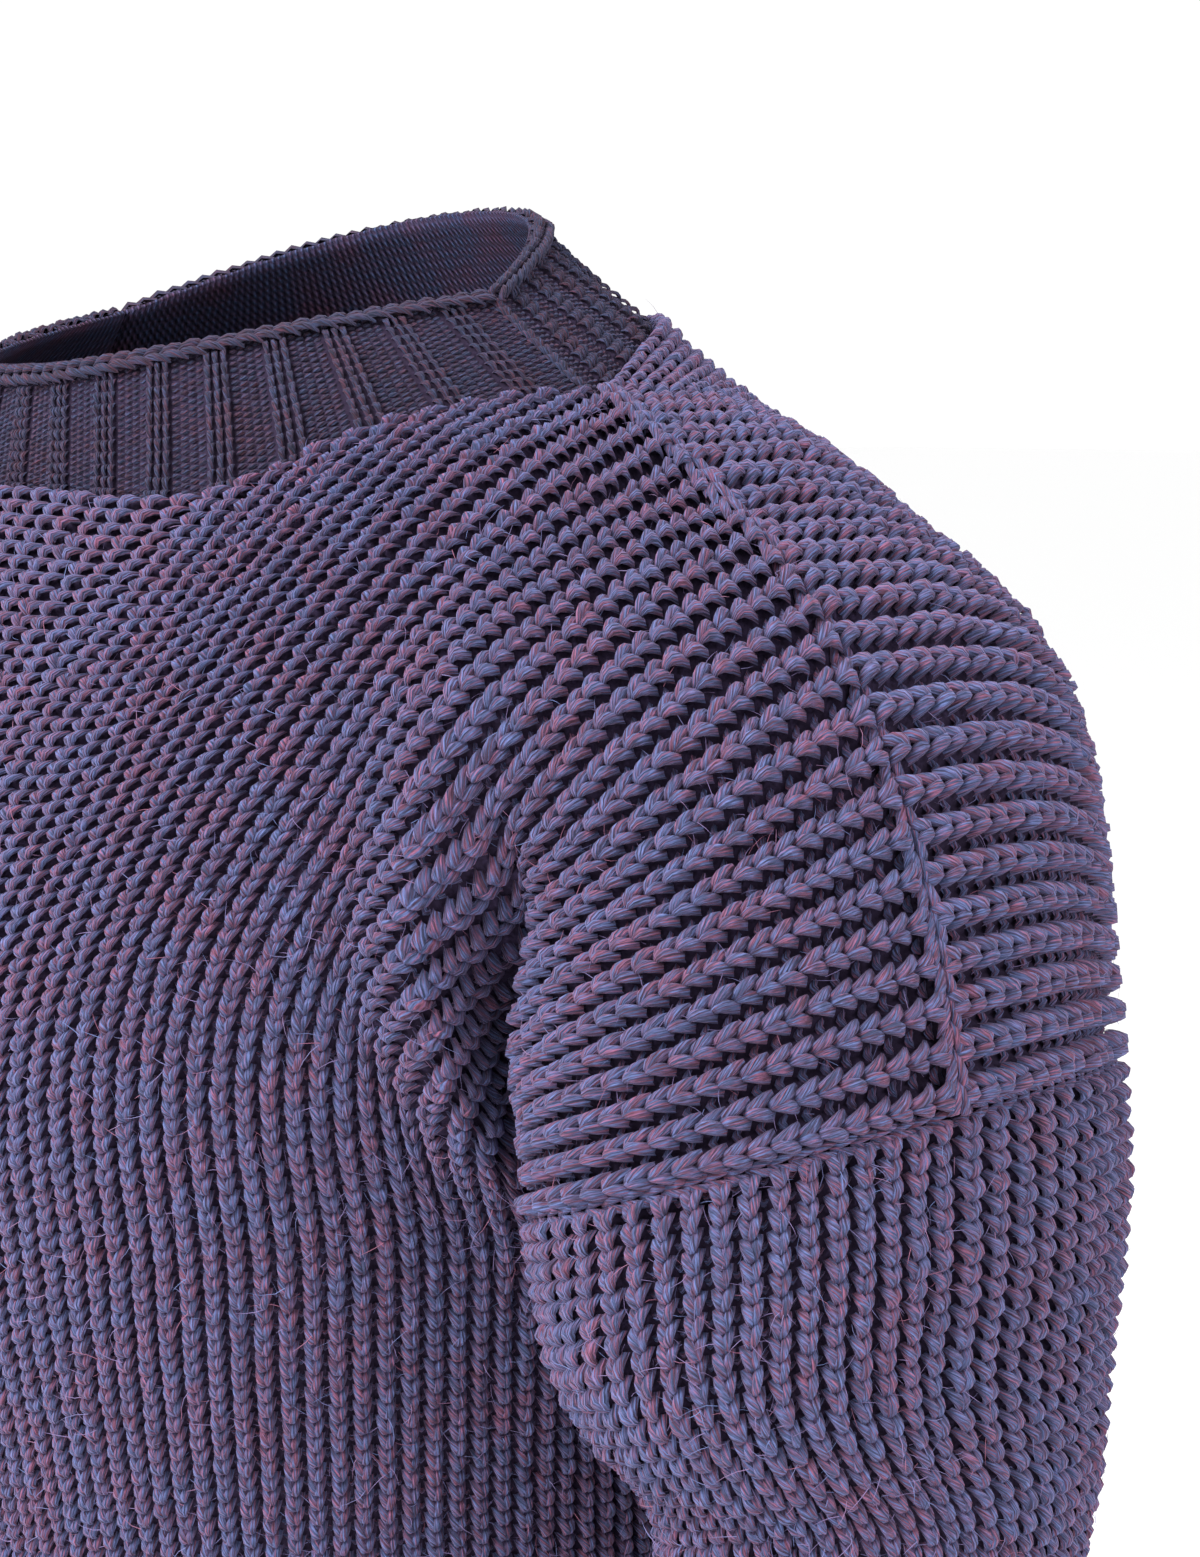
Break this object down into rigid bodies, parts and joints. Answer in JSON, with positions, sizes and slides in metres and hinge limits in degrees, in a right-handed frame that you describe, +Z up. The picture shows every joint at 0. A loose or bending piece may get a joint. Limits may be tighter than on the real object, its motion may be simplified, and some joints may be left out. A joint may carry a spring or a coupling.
{
  "type": "fisherman sweater",
  "caption": "Drop-shoulder fisherman's rib sweater in its worn form: ribbed front and back panels, ribbed sleeves and a stand-up ribbed neckband",
  "frame": {"origin": "Where the wearer's shoulders carry the sweater, on the middle line at the height of the neckband's side corners", "axes": "+X to the wearer's left, -Y to the front, +Z up"},
  "size_m": [0.676, 0.2817, 0.639],
  "materials": {
    "rib_knit": "heather violet chunky fisherman's rib knit",
    "band_knit": "heather violet finer rib knit"
  },
  "bodies": {
    "root": {"front": "rib_knit", "back": "rib_knit", "sleeve_left": "rib_knit", "sleeve_right": "rib_knit", "neckband_front": "band_knit", "neckband_back": "band_knit"}
  },
  "joints": []
}
